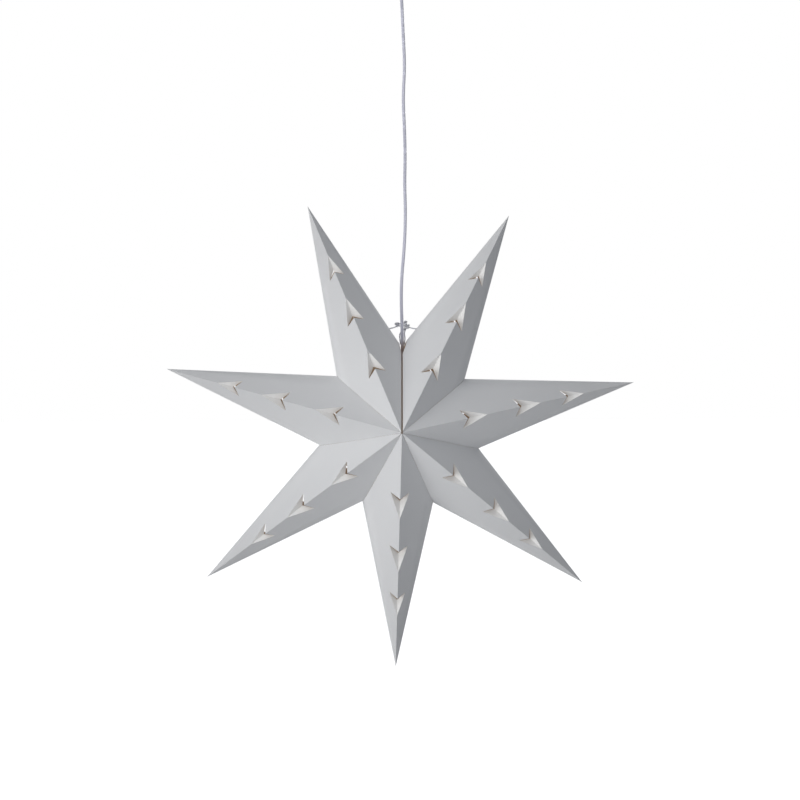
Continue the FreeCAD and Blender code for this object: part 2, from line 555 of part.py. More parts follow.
# ---- ceiling fitting --------------------------------------------------------------------
def make_ceiling_fitting():
    plate = cylinder(PLATE_RADIUS, PLATE_THICKNESS, V(0, 0, -PLATE_THICKNESS))
    for side in (-1, 1):
        middle = V(side * SLOT_SPACING / 2, 0, -PLATE_THICKNESS)
        slot = box(V(SLOT_TRAVEL, 2 * SLOT_RADIUS, PLATE_THICKNESS), middle)
        for end in (-1, 1):
            slot_end = middle + V(end * SLOT_TRAVEL / 2, 0, 0)
            slot = slot.fuse(cylinder(SLOT_RADIUS, PLATE_THICKNESS, slot_end))
        plate = plate.cut(slot)
    block_middle = V(0, BLOCK_Y + BLOCK_SIZE.y / 2, -PLATE_THICKNESS - BLOCK_SIZE.z)
    block_top = -PLATE_THICKNESS
    screw_hole = cylinder(BLOCK_SCREW_RADIUS + FIT, BLOCK_SIZE.z + PLATE_THICKNESS, block_middle)
    export("ceiling_plate", plate.cut(screw_hole))
    half_span = STAPLE_SPAN / 2
    staple_z = -PLATE_THICKNESS - STAPLE_DROP
    staple = [V(-half_span, 0, -PLATE_THICKNESS), V(-half_span, 0, staple_z), V(half_span, 0, staple_z),
              V(half_span, 0, -PLATE_THICKNESS)]
    export("plate_staple", tube(staple, STAPLE_RADIUS, "plate_staple"))
    hook_z = staple_z + STAPLE_RADIUS + HOOK_RADIUS
    hook_end = CLAMP_TOP - HOOK_DEPTH
    hook = [V(0, -HOOK_Y, hook_z - 6), V(0, -HOOK_Y, hook_z), V(0, HOOK_Y, hook_z), V(0, HOOK_Y, hook_end)]
    export("cord_hook", tube(hook, HOOK_RADIUS, "cord_hook"))

    low = CLAMP_TOP - CLAMP_SIZE.z
    whole = box(CLAMP_SIZE, V(0, 0, low))
    whole = whole.makeFillet(1.5, [e for e in whole.Edges if abs(e.tangentAt(0).z) > 0.9])
    whole = whole.cut(cylinder(cord_radius + CLAMP_GRIP, CLAMP_SIZE.z, V(0, 0, low)))
    half = V(CLAMP_SIZE.x + 2, CLAMP_SIZE.y, CLAMP_SIZE.z + 2)
    screw_z = low + CLAMP_SIZE.z / 2
    front = whole.common(box(half, V(0, -half.y / 2 - CLAMP_SPLIT / 2, low - 1)))
    back = whole.common(box(half, V(0, half.y / 2 + CLAMP_SPLIT / 2, low - 1)))
    back = back.cut(cylinder(HOOK_RADIUS + FIT, HOOK_DEPTH, V(0, HOOK_Y, hook_end)))
    for name, side in (("left", -1), ("right", 1)):
        seat = V(side * CLAMP_SCREW_X, -CLAMP_SIZE.y / 2, screw_z)
        length = CLAMP_SIZE.y - 3
        hole = cylinder(CLAMP_SCREW_RADIUS + FIT, length + 0.2, seat, Y_AXIS)
        front, back = front.cut(hole), back.cut(hole)
        export("clamp_screw_" + name, headed_screw(
            CLAMP_SCREW_RADIUS, length, SCREW_HEAD_RADIUS, SCREW_HEAD, seat, Y_AXIS))
    export("clamp_front", front)
    export("clamp_back", back)

    block = box(BLOCK_SIZE, block_middle).cut(screw_hole)
    way_z = block_top - BLOCK_SIZE.z / 2
    for name, side in (("left", -1), ("right", 1)):
        way = V(side * BLOCK_WAY_X, BLOCK_Y, way_z)
        block = block.cut(cylinder(BLOCK_WAY_RADIUS, BLOCK_WAY_DEPTH, way, Y_AXIS))
        way_screw = V(side * BLOCK_WAY_X, BLOCK_Y + BLOCK_WAY_DEPTH - 1.5, block_middle.z)
        block = block.cut(cylinder(BLOCK_SCREW_RADIUS + FIT, BLOCK_SCREW_DEPTH - 0.8, way_screw))
        block = block.cut(cylinder(SCREW_HEAD_RADIUS * 0.8 + FIT, 1.0, way_screw))
        seat = way_screw + V(0, 0, 1.0)
        export("block_screw_" + name, headed_screw(
            BLOCK_SCREW_RADIUS, BLOCK_SCREW_DEPTH - 2, SCREW_HEAD_RADIUS * 0.8, 1.0, seat, Z_AXIS))
        core = [V(side * CORE_OFFSET, 0, CORD_TOP), V(side * CORE_OFFSET, 0, CORD_TOP + 3),
                V(side * 4.6, 3.8, -16.5), V(side * BLOCK_WAY_X, 10, way_z),
                V(side * BLOCK_WAY_X, BLOCK_Y + BLOCK_WAY_DEPTH, way_z)]
        export("ceiling_core_" + name, tube(core, CORE_RADIUS, "ceiling_core_" + name))
    export("terminal_block", block)
    export("block_fixing_screw", headed_screw(
        BLOCK_SCREW_RADIUS, BLOCK_SIZE.z + PLATE_THICKNESS - 0.3, SCREW_HEAD_RADIUS, SCREW_HEAD,
        block_middle, Z_AXIS))


# ---- ceiling cup ------------------------------------------------------------------------
def make_cup():
    foot = CUP_TOP - CUP_HEIGHT
    shoulder = foot + CUP_SHOULDER
    hole = BUSH_NECK_RADIUS + FIT
    slope = CUP_WALL * 0.7
    export("ceiling_cup", turned([
        (CUP_RADIUS, CUP_TOP), (CUP_RADIUS, shoulder + 5), (CUP_RADIUS - 2, shoulder),
        (CUP_FOOT_RADIUS, foot), (hole, foot), (hole, foot + CUP_WALL),
        (CUP_FOOT_RADIUS - slope, foot + CUP_WALL),
        (CUP_RADIUS - 2 - CUP_WALL, shoulder + slope), (CUP_RADIUS - CUP_WALL, shoulder + 5 + slope / 2),
        (CUP_RADIUS - CUP_WALL, CUP_TOP)], V(0, 0, 0)))
    bore = cord_radius + SLIDE_CLEARANCE
    neck_top = foot + CUP_WALL + NUT_HEIGHT + 1.0
    bush_low = foot - BUSH_LENGTH
    bush = turned([(bore, neck_top), (BUSH_NECK_RADIUS, neck_top), (BUSH_NECK_RADIUS, foot),
                   (BUSH_RADIUS, foot), (BUSH_RADIUS, foot - BUSH_LENGTH * 0.4),
                   (BUSH_TIP_RADIUS, bush_low), (bore, bush_low)], V(0, 0, 0))
    screw_z = foot - BUSH_LENGTH * 0.22
    seat = V(BUSH_RADIUS, 0, screw_z)
    length = BUSH_RADIUS - cord_radius - SET_SCREW_CLEARANCE
    export("cup_bush", bush.cut(cylinder(SET_SCREW_RADIUS + FIT, BUSH_RADIUS, seat, V(-1, 0, 0))))
    export("cup_set_screw", headed_screw(
        SET_SCREW_RADIUS, length, SET_SCREW_HEAD_RADIUS, SET_SCREW_HEAD, seat, V(-1, 0, 0)))
    nut = hexagon(NUT_FLATS, NUT_HEIGHT, V(0, 0, foot + CUP_WALL))
    export("cup_nut", nut.cut(cylinder(BUSH_NECK_RADIUS + FIT, NUT_HEIGHT, V(0, 0, foot + CUP_WALL))))


os.makedirs("parts", exist_ok=True)
make_arms()
make_tie()
make_cords()
make_lampholder()
make_bulb()
make_ceiling_fitting()
make_cup()
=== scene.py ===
import json
import math

import bmesh
import bpy
from mathutils import Matrix, Vector


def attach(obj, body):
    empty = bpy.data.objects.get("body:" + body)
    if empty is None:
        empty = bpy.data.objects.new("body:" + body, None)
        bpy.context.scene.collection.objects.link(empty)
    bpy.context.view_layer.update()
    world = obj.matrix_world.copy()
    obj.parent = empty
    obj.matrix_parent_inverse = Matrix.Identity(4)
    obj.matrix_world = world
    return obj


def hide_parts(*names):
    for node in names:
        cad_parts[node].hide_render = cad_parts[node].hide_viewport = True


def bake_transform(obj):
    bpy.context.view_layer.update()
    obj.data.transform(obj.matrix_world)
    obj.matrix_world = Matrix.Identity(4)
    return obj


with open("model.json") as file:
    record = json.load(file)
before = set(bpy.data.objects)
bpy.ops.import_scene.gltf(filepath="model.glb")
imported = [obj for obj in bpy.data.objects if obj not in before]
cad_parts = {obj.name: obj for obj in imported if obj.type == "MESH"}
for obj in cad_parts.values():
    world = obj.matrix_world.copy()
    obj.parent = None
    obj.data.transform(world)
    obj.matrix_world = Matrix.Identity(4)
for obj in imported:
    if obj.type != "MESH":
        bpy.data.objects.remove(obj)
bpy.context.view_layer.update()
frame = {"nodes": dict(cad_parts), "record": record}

STAR = Vector((0.0, 0.0, -0.710))     # the star's centre, below the ceiling


def at_star(x, y, height):
    """A point given in millimetres from the star's centre."""
    return STAR + Vector((x, y, height)) / 1000


# ---- camera ---------------------------------------------------------------------------
PIXEL = 0.001293                      # metres that one pixel of the photograph spans at the star
PHOTO_WIDTH = 800                     # pixels
AIM_RIGHT, AIM_UP = 0.5, 28.5         # the view's middle from the star's centre, in pixels
CAMERA_DISTANCE = 3.2
CAMERA_AZIMUTH, CAMERA_ELEVATION = math.radians(-2.57), math.radians(3.95)
SENSOR_WIDTH = 36                     # mm


def make_camera():
    """Set so that a pixel spans PIXEL metres at the star, as it does in the photograph."""
    data = bpy.data.cameras.new("camera")
    camera = bpy.data.objects.new("camera", data)
    bpy.context.scene.collection.objects.link(camera)
    bpy.context.scene.camera = camera
    level = math.cos(CAMERA_ELEVATION)
    away = Vector((math.sin(CAMERA_AZIMUTH) * level, -math.cos(CAMERA_AZIMUTH) * level,
                   math.sin(CAMERA_ELEVATION)))
    aim = STAR + Vector((AIM_RIGHT * PIXEL, 0, AIM_UP * PIXEL))
    camera.location = aim + away * CAMERA_DISTANCE
    camera.rotation_mode = "QUATERNION"
    camera.rotation_quaternion = (-away).to_track_quat("-Z", "Y")
    data.sensor_width = SENSOR_WIDTH
    data.lens = SENSOR_WIDTH * CAMERA_DISTANCE / (PHOTO_WIDTH * PIXEL)
    data.clip_start, data.clip_end = 0.1, 60


make_camera()


# ---- curves and tubes -----------------------------------------------------------------
def spline_of(name, points, resolution=12):
    """A smooth curve guided by points, which are in metres."""
    curve = bpy.data.curves.new(name, "CURVE")
    curve.dimensions = "3D"
    curve.resolution_u = resolution
    line = curve.splines.new("NURBS")
    line.points.add(len(points) - 1)
    for point, place in zip(line.points, points):
        point.co = (*place, 1)
    line.order_u = 3
    line.use_endpoint_u = True
    return bpy.data.objects.new(name, curve)


def line_points(points, resolution=12):
    """The points along the smooth curve that points guide."""
    guide = spline_of("guide", points, resolution)
    bpy.context.scene.collection.objects.link(guide)
    bpy.context.view_layer.update()
    mesh = bpy.data.meshes.new_from_object(guide.evaluated_get(bpy.context.evaluated_depsgraph_get()))
    found = [v.co.copy() for v in mesh.vertices]
    bpy.data.objects.remove(guide)
    bpy.data.meshes.remove(mesh)
    return found


def even_points(points, step):
    """The same line with its points about step apart."""
    lengths = [0.0]
    for a, b in zip(points, points[1:]):
        lengths.append(lengths[-1] + (b - a).length)
    count = max(2, round(lengths[-1] / step))
    found, k = [], 0
    for i in range(count + 1):
        want = lengths[-1] * i / count
        while k < len(lengths) - 2 and lengths[k + 1] < want:
            k += 1
        share = (want - lengths[k]) / max(lengths[k + 1] - lengths[k], 1e-9)
        found.append(points[k].lerp(points[k + 1], share))
    return found


def stations(path, turn, size):
    """The place, turning and size of a section at each point of path, as matrices."""
    side = Vector((1, 0, 0))
    found = []
    for i, place in enumerate(path):
        ahead = (path[min(i + 1, len(path) - 1)] - path[max(i - 1, 0)]).normalized()
        side = (side - ahead * side.dot(ahead)).normalized()
        share = i / (len(path) - 1)
        lie = Matrix((side, ahead.cross(side), ahead)).transposed().to_4x4()
        spin = Matrix.Rotation(turn(share), 4, "Z")
        found.append(Matrix.Translation(place) @ lie @ spin @ Matrix.Scale(size(share), 4))
    return found


def sweep(name, path, shape, count=12, turn=lambda share: 0.0, size=lambda share: 1.0):
    """A closed skin: a disc of count corners, bent by shape, is extruded from point to point of path."""
    bm = bmesh.new()
    ring = bmesh.ops.create_circle(bm, cap_ends=True, segments=count, radius=1.0)["verts"]
    for v in ring:
        v.co.x, v.co.y = shape(v.co.x, v.co.y)
    steps = stations(path, turn, size)
    bmesh.ops.transform(bm, matrix=steps[0], verts=ring)
    cap = bm.faces[:]
    for here, there in zip(steps, steps[1:]):
        made = bmesh.ops.extrude_face_region(bm, geom=cap)["geom"]
        cap = [g for g in made if isinstance(g, bmesh.types.BMFace)]
        bmesh.ops.transform(bm, matrix=there @ here.inverted(), verts=list(cap[0].verts))
    bmesh.ops.recalc_face_normals(bm, faces=bm.faces)
    for face in bm.faces:
        face.smooth = len(face.verts) == 4
    return piece_from(name, bm)


def piece_from(name, bm):
    """The bmesh as an object in the scene."""
    mesh = bpy.data.meshes.new(name)
    bm.to_mesh(mesh)
    bm.free()
    piece = bpy.data.objects.new(name, mesh)
    bpy.context.scene.collection.objects.link(piece)
    return piece


def twin_shape(width, thickness):
    """Two round cores side by side under one sheath, with a groove between them."""
    groove_depth, groove_width, fullness = 0.24, 0.22, 0.8

    def shape(x, y):
        groove = 1 - groove_depth * math.exp(-(x / groove_width) ** 2)
        return x * width / 2, math.copysign(abs(y) ** fullness, y) * thickness / 2 * groove
    return shape


def string_shape(radius):
    """Three strands laid together."""
    strands, strand_bulge = 3, 0.16

    def shape(x, y):
        bulge = radius * (1 + strand_bulge * math.cos(strands * math.atan2(y, x)))
        return x * bulge, y * bulge
    return shape


# ---- cord -----------------------------------------------------------------------------
CORD_ROUTE = [
    Vector((0.0, 0.0, -0.022)), Vector((0.0, 0.0, -0.0835)), Vector((0.00045, 0.0001, -0.135)),
    at_star(2.9, 0.5, 548.0), at_star(4.6, 0.8, 508.0), at_star(6.9, 0.9, 465.0),
    at_star(4.4, 0.2, 425.0), at_star(6.3, -0.8, 388.0), at_star(7.3, -0.4, 350.0),
    at_star(6.5, 0.5, 314.0), at_star(7.8, 0.8, 282.0), at_star(6.7, 0.6, 238.0),
    at_star(1.5, 0.1, 182.0), at_star(3.8, 0.0, 122.0), at_star(3.8, 0.0, 62.0),
]
CORD_WIDTH, CORD_THICKNESS = 0.0041, 0.0030   # as the photograph shows them
CORD_CORNERS, CORD_STEP = 32, 0.0025
CORD_TURN, CORD_SWAY, CORD_WAVES = 0.35, 0.25, 21   # how far its flat side faces from the front, in radians


def make_cord():
    path = even_points(line_points(CORD_ROUTE), CORD_STEP)
    cord = sweep("twin_cord", path, twin_shape(CORD_WIDTH, CORD_THICKNESS), CORD_CORNERS,
                 turn=lambda share: CORD_TURN + CORD_SWAY * math.sin(share * CORD_WAVES))
    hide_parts("cord_upper", "cord_drop")
    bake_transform(cord)
    return cord


cord = make_cord()


# ---- pieces on the solids' shapes -------------------------------------------------------
def merged_copy(*nodes):
    """The solids' own meshes as one bmesh, their split corners joined again."""
    bm = bmesh.new()
    for name in nodes:
        bm.from_mesh(frame["nodes"][name].data)
    bmesh.ops.remove_doubles(bm, verts=bm.verts, dist=2e-6)
    return bm


def smooth_but(bm, angle):
    """Smooth shading, with the creases sharper than angle (degrees) kept."""
    for face in bm.faces:
        face.smooth = True
    for edge in bm.edges:
        edge.smooth = len(edge.link_faces) == 2 and edge.calc_face_angle(0) < math.radians(angle)


def evened(piece):
    """The piece with shading that favours its large faces, so that flat card looks flat."""
    weigh = piece.modifiers.new("weigh", "WEIGHTED_NORMAL")
    weigh.keep_sharp = True
    bpy.context.view_layer.update()
    flat = bpy.data.meshes.new_from_object(piece.evaluated_get(bpy.context.evaluated_depsgraph_get()))
    piece.modifiers.clear()
    old = piece.data
    piece.data = flat
    bpy.data.meshes.remove(old)
    flat.name = piece.name
    return piece


def softened(bm, width, angle=40, segments=2):
    """Rounds the hard edges of a solid."""
    hard = [e for e in bm.edges if len(e.link_faces) == 2 and e.calc_face_angle(0) > math.radians(angle)]
    bmesh.ops.bevel(bm, geom=hard, offset=width, offset_type="OFFSET", affect="EDGES", segments=segments,
                    profile=0.5, material=-1, clamp_overlap=True)


# ---- star ---------------------------------------------------------------------------------
ARM_LEANS = {                         # degrees that each ridge leans from the middle of its arm
    "arm_1_top_right": 0.1, "arm_2_right": 0.5, "arm_3_lower_right": 0.3, "arm_4_bottom": -0.5,
    "arm_5_lower_left": -0.4, "arm_6_left": 0.3, "arm_7_top_left": 1.9,
}
STAR_ROLL = math.radians(1.4)
HALF_ARM = math.pi / len(ARM_LEANS)
HALF_DEPTH, RIDGE_REACH = 0.072, 0.310    # a ridge falls from this height at the centre to nothing here
NOTCHES = (0.0869, 0.1563, 0.2192)        # where each cut-out's notch lies along the arm
FLAP_SHRINK, FLAP_LIFT = 0.0023, 0.0020   # how far a flap's corner is drawn back from its notch, and up
FLAP_SHALLOWEST, FLAP_DEEPEST = 0.004, 0.025   # that corner is this far below the ridge
ON_RIDGE, AT_NOTCH = 0.001, 0.003         # and no further off the ridge line and the notch than this
SEAM_MOUTH = 0.0978                       # the seam opens from here outwards
OUTSIDE, INSIDE, CUT_EDGE, FLAP = 0, 1, 2, 3   # the card's finishes, as make_arm gives them to its faces
FLAT_IN_SEAM = 0.995                      # cosine of how far a face may turn from the seam's plane
EDGE_ON = 0.3                             # a face that looks less in or out than this is a cut edge
ARM_CREASE, SOLID_CREASE = 17, 32         # degrees; sharper creases stay sharp


def on_seam_plane(sideways, ahead):
    """Whether a face lies in the plane between two arms, from its normal's parts across and along the arm."""
    across_seam = abs(sideways) * math.cos(HALF_ARM) - ahead * math.copysign(math.sin(HALF_ARM), sideways)
    return abs(across_seam) > FLAT_IN_SEAM


def draw_back_flaps(bm, node, along, across):
    """Draws the inner corner of each flap back from its notch; returns the corners that were moved."""
    lean = math.tan(math.radians(ARM_LEANS[node]))
    corners = set()
    for v in bm.verts:
        place = v.co - STAR
        height, depth = place.dot(along), abs(place.y)
        if abs(place.dot(across) - lean * height) >= ON_RIDGE:
            continue
        for notch in NOTCHES:
            below_ridge = HALF_DEPTH * (1 - notch / RIDGE_REACH) - depth
            if abs(height - notch) < AT_NOTCH and FLAP_SHALLOWEST < below_ridge < FLAP_DEEPEST:
                corners.add(v)
                v.co += along * FLAP_SHRINK + Vector((0, math.copysign(FLAP_LIFT, place.y), 0))
    return corners


def make_arm(index, node):
    """One folded arm: white outside, its inner skin and its cut edges told apart by where faces look."""
    clock = STAR_ROLL + (2 * index + 1) * HALF_ARM
    lean = math.tan(math.radians(ARM_LEANS[node]))
    along = Vector((math.sin(clock), 0, math.cos(clock)))
    across = Vector((math.cos(clock), 0, -math.sin(clock)))
    bm = merged_copy(node)
    corners = draw_back_flaps(bm, node, along, across)
    seam = Vector((math.sin(STAR_ROLL), 0, math.cos(STAR_ROLL)))
    bmesh.ops.bisect_plane(bm, geom=bm.verts[:] + bm.edges[:] + bm.faces[:], dist=1e-6,
                           plane_co=STAR + seam * SEAM_MOUTH, plane_no=seam)
    bm.normal_update()
    for face in bm.faces:
        place = face.calc_center_median() - STAR
        out = Vector((place.dot(across) - lean * place.dot(along), place.y)).normalized()
        sideways, ahead = face.normal.dot(across), face.normal.dot(along)
        looks = sideways * out.x + face.normal.y * out.y
        on_seam = on_seam_plane(sideways, ahead)
        if on_seam and place.dot(seam) > SEAM_MOUTH:
            face.material_index = OUTSIDE
        elif on_seam or abs(looks) < EDGE_ON:
            face.material_index = CUT_EDGE
        elif looks < 0:
            face.material_index = INSIDE
        else:
            face.material_index = FLAP if corners.intersection(face.verts) else OUTSIDE
    smooth_but(bm, ARM_CREASE)
    arm = evened(piece_from(node.replace("arm", "card_arm"), bm))
    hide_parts(node)
    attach(arm, "star")
    return arm


arms = [make_arm(index, node) for index, node in enumerate(ARM_LEANS)]


# ---- string tie ---------------------------------------------------------------------------
LEFT_HOLE, RIGHT_HOLE = (-12.8, 0.0, 128.8), (21.5, 0.0, 128.8)   # mm from the star's centre
STRING_RADIUS, STRING_CORNERS, STRING_STEP = 0.0008, 15, 0.0007
STRAND_TURN = 1700                    # radians that the strands turn in a metre
KNOT_POINTS, KNOT_FATNESS = 15, 1.2


def string_piece(name, points, node=None):
    """A length of the tie along points in millimetres from the star's centre."""
    path = even_points(line_points([at_star(*p) for p in points], 24), STRING_STEP)
    length = sum((b - a).length for a, b in zip(path, path[1:]))
    piece = sweep(name, path, string_shape(STRING_RADIUS), STRING_CORNERS,
                  turn=lambda share: share * length * STRAND_TURN)
    if node:
        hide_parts(node)
    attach(piece, "star")
    return piece


def knot_points(x, y, height, size, tip):
    """A pulled-tight overhand knot, turned by tip round the upright."""
    points = []
    for k in range(KNOT_POINTS):
        t = 2 * math.pi * (k + 0.5) / KNOT_POINTS
        a = (math.sin(t) + 2 * math.sin(2 * t)) * size
        b = (math.cos(t) - 2 * math.cos(2 * t)) * size
        c = -math.sin(3 * t) * size * KNOT_FATNESS
        points.append((x + a * math.cos(tip) - c * math.sin(tip), y + a * math.sin(tip) + c * math.cos(tip),
                       height + b))
    return points


def make_tie():
    """Two strings from the arms' holes, knotted beside the cord, with a loop behind it and two tails."""
    lx, ly, lz = LEFT_HOLE
    rx, ry, rz = RIGHT_HOLE
    left = [(lx - 5.0, ly, lz + 0.5), (lx - 1.5, ly, lz + 0.2), (lx + 2, ly, lz + 0.9),
            (-6.5, -0.4, 130.6), (-3.4, -0.6, 132.6)]
    right = [(rx + 5.0, ry, rz + 0.5), (rx + 1.5, ry, rz), (rx - 2, ry, rz + 0.2),
             (13.5, -0.4, 130.3), (10.4, -0.6, 131.6)]
    tail_left = [(7.6, 3.2, 136.0), (7.6, 3.6, 128.0), (2.4, 4.6, 124.8), (0.2, 5.0, 121.5),
                 (0.8, 5.0, 113.0), (1.6, 4.8, 108.6)]
    loop = [(-3.0, 0.2, 134.6), (-1.2, 3.0, 135.2), (3.8, 4.6, 135.4), (8.6, 3.0, 135.2),
            (9.2, 0.4, 135.0), (8.2, -2.9, 134.8), (9.0, -0.8, 133.4), (9.0, 2.2, 132.9),
            (6.6, 3.8, 132.8), (3.8, 4.6, 132.4), (-0.8, 3.2, 132.4), (-3.0, 0.2, 132.8)]
    tail_right = [(9.8, 0.6, 131.4), (7.4, 3.0, 127.6), (6.4, 3.8, 122.0), (7.6, 3.6, 115.0),
                  (6.0, 3.6, 108.4)]
    return [
        string_piece("tie_string_left", left, "string_left"),
        string_piece("tie_string_right", right, "string_right"),
        string_piece("tie_knot_left", knot_points(-3.0, -0.6, 134.6, size=1.05, tip=0.4), "knot_left"),
        string_piece("tie_knot_right", knot_points(10.4, -0.6, 132.2, size=1.0, tip=-0.6), "knot_right"),
        string_piece("tie_knot_upper", knot_points(7.7, -3.0, 137.4, size=0.82, tip=0.9)),
        string_piece("tie_tail", tail_left, "string_tail"),
        string_piece("tie_loop", loop, "tie_wrap"),
        string_piece("tie_tail_right", tail_right),
    ]


tie = make_tie()


# ---- fittings, lampholder and bulb ------------------------------------------------------
# Every other solid is shown by a merged copy of its mesh, with its hard edges rounded this much (mm).
ROUNDED = {
    "ceiling_cup": 0.8, "cup_bush": 0.5, "cup_nut": 0.4, "holder_cap": 0.5, "holder_relief": 0.3,
    "holder_skirt": 0.5, "terminal_block": 0.5, "clamp_front": 0.5, "clamp_back": 0.5, "ceiling_plate": 0.25,
    "holder_insert": 0.3, "holder_terminal_left": 0.3, "holder_terminal_right": 0.3,
}
DRAWN_ABOVE = set(ARM_LEANS) | {
    "cord_upper", "cord_drop", "string_left", "string_right", "knot_left", "knot_right", "string_tail",
    "tie_wrap",
}


def make_solids():
    """A finished copy of each solid that has no piece yet, by node name."""
    made = {}
    for body, nodes in frame["record"]["behaviour"]["bodies"].items():
        for name in nodes:
            if name in DRAWN_ABOVE:
                continue
            bm = merged_copy(name)
            if name in ROUNDED:
                softened(bm, ROUNDED[name] / 1000)
            smooth_but(bm, SOLID_CREASE)
            piece = evened(piece_from(name + "_finished", bm))
            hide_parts(name)
            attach(piece, body)
            made[name] = piece
    return made


solids = make_solids()


# ---- shader groups --------------------------------------------------------------------
def new_group(name, inputs, outputs):
    """An empty shader group with these sockets, and its two end nodes."""
    group = bpy.data.node_groups.new(name, "ShaderNodeTree")
    for label, kind, default in inputs:
        socket = group.interface.new_socket(label, in_out="INPUT", socket_type=kind)
        socket.default_value = default
    for label, kind in outputs:
        group.interface.new_socket(label, in_out="OUTPUT", socket_type=kind)
    enter = group.nodes.new("NodeGroupInput")
    leave = group.nodes.new("NodeGroupOutput")
    return group, enter, leave


def node(tree, kind, inputs=(), **settings):
    """A new shader node; each input is a value to set or a socket to link."""
    made = tree.nodes.new(kind)
    for key, value in settings.items():
        setattr(made, key, value)
    for key, value in dict(inputs).items():
        if isinstance(value, bpy.types.NodeSocket):
            tree.links.new(value, made.inputs[key])
        else:
            made.inputs[key].default_value = value
    return made


def make_grain_group():
    """Mottled colour, uneven roughness and a fine bump, from noise at two sizes."""
    group, enter, leave = new_group(
        "surface_grain",
        [("Color", "NodeSocketColor", (0.8, 0.8, 0.8, 1)), ("Tint", "NodeSocketColor", (0.7, 0.7, 0.7, 1)),
         ("Mottle", "NodeSocketFloat", 0.1), ("Roughness", "NodeSocketFloat", 0.5),
         ("Scale", "NodeSocketFloat", 400.0), ("Relief", "NodeSocketFloat", 0.1),
         ("Edge Radius", "NodeSocketFloat", 0.0003)],
        [("Color", "NodeSocketColor"), ("Roughness", "NodeSocketFloat"), ("Normal", "NodeSocketVector")])
    place = node(group, "ShaderNodeTexCoord").outputs["Object"]
    coarse = node(group, "ShaderNodeTexNoise", {"Vector": place, "Scale": 28.0, "Detail": 3.0})
    fine = node(group, "ShaderNodeTexNoise",
                {"Vector": place, "Scale": enter.outputs["Scale"], "Detail": 4.0, "Roughness": 0.6})
    mixed = node(group, "ShaderNodeMath", {0: coarse.outputs["Fac"], 1: fine.outputs["Fac"]}, operation="ADD")
    centred = node(group, "ShaderNodeMapRange",
                   {"Value": mixed.outputs[0], "From Min": 0.7, "From Max": 1.3, "To Min": 0.0,
                    "To Max": 1.0})
    amount = node(group, "ShaderNodeMath", {0: centred.outputs[0], 1: enter.outputs["Mottle"]},
                  operation="MULTIPLY")
    colour = node(group, "ShaderNodeMix", {0: amount.outputs[0]}, data_type="RGBA")
    group.links.new(enter.outputs["Color"], colour.inputs[6])
    group.links.new(enter.outputs["Tint"], colour.inputs[7])
    spread = node(group, "ShaderNodeMath", {0: fine.outputs["Fac"], 1: 0.12}, operation="MULTIPLY")
    rough = node(group, "ShaderNodeMath", {0: enter.outputs["Roughness"], 1: spread.outputs[0]},
                 operation="ADD")
    rounded = node(group, "ShaderNodeBevel", {"Radius": enter.outputs["Edge Radius"]}, samples=4)
    bump = node(group, "ShaderNodeBump", {"Strength": enter.outputs["Relief"], "Distance": 0.0004,
                                          "Height": fine.outputs["Fac"], "Normal": rounded.outputs[0]})
    group.links.new(colour.outputs[2], leave.inputs["Color"])
    group.links.new(rough.outputs[0], leave.inputs["Roughness"])
    group.links.new(bump.outputs[0], leave.inputs["Normal"])
    return group


GRAIN = make_grain_group()


def grained_material(name, color, tint, roughness=0.5, mottle=0.3, scale=400.0, relief=0.1, edge=0.0003,
                     **sockets):
    """A material on the grain group; sockets are further inputs of its surface, by name."""
    material = bpy.data.materials.new(name)
    material.use_nodes = True
    tree = material.node_tree
    surface = tree.nodes["Principled BSDF"]
    grain = node(tree, "ShaderNodeGroup", node_tree=GRAIN)
    for label, value in (("Color", (*color, 1)), ("Tint", (*tint, 1)), ("Mottle", mottle),
                         ("Roughness", roughness), ("Scale", scale), ("Relief", relief),
                         ("Edge Radius", edge)):
        grain.inputs[label].default_value = value
    tree.links.new(grain.outputs["Color"], surface.inputs["Base Color"])
    tree.links.new(grain.outputs["Roughness"], surface.inputs["Roughness"])
    tree.links.new(grain.outputs["Normal"], surface.inputs["Normal"])
    for label, value in sockets.items():
        surface.inputs[label.replace("_", " ")].default_value = value
    return material


def paint_shade_towards_tips(material, least):
    """Painted shade: takes the card's colour down to this share of itself from the star's centre to its tips.
    """
    full_within, least_beyond = 0.05, 0.26    # metres from the star's centre
    tree = material.node_tree
    surface = tree.nodes["Principled BSDF"]
    colour = surface.inputs["Base Color"].links[0].from_socket
    place = node(tree, "ShaderNodeTexCoord").outputs["Object"]
    from_centre = node(tree, "ShaderNodeVectorMath", {0: place, 1: tuple(STAR)}, operation="DISTANCE")
    share = node(tree, "ShaderNodeMapRange",
                 {"Value": from_centre.outputs["Value"], "From Min": full_within, "From Max": least_beyond,
                  "To Min": 1.0, "To Max": least})
    dimmed = node(tree, "ShaderNodeVectorMath", {0: colour, "Scale": share.outputs[0]}, operation="SCALE")
    tree.links.new(dimmed.outputs["Vector"], surface.inputs["Base Color"])
    return material
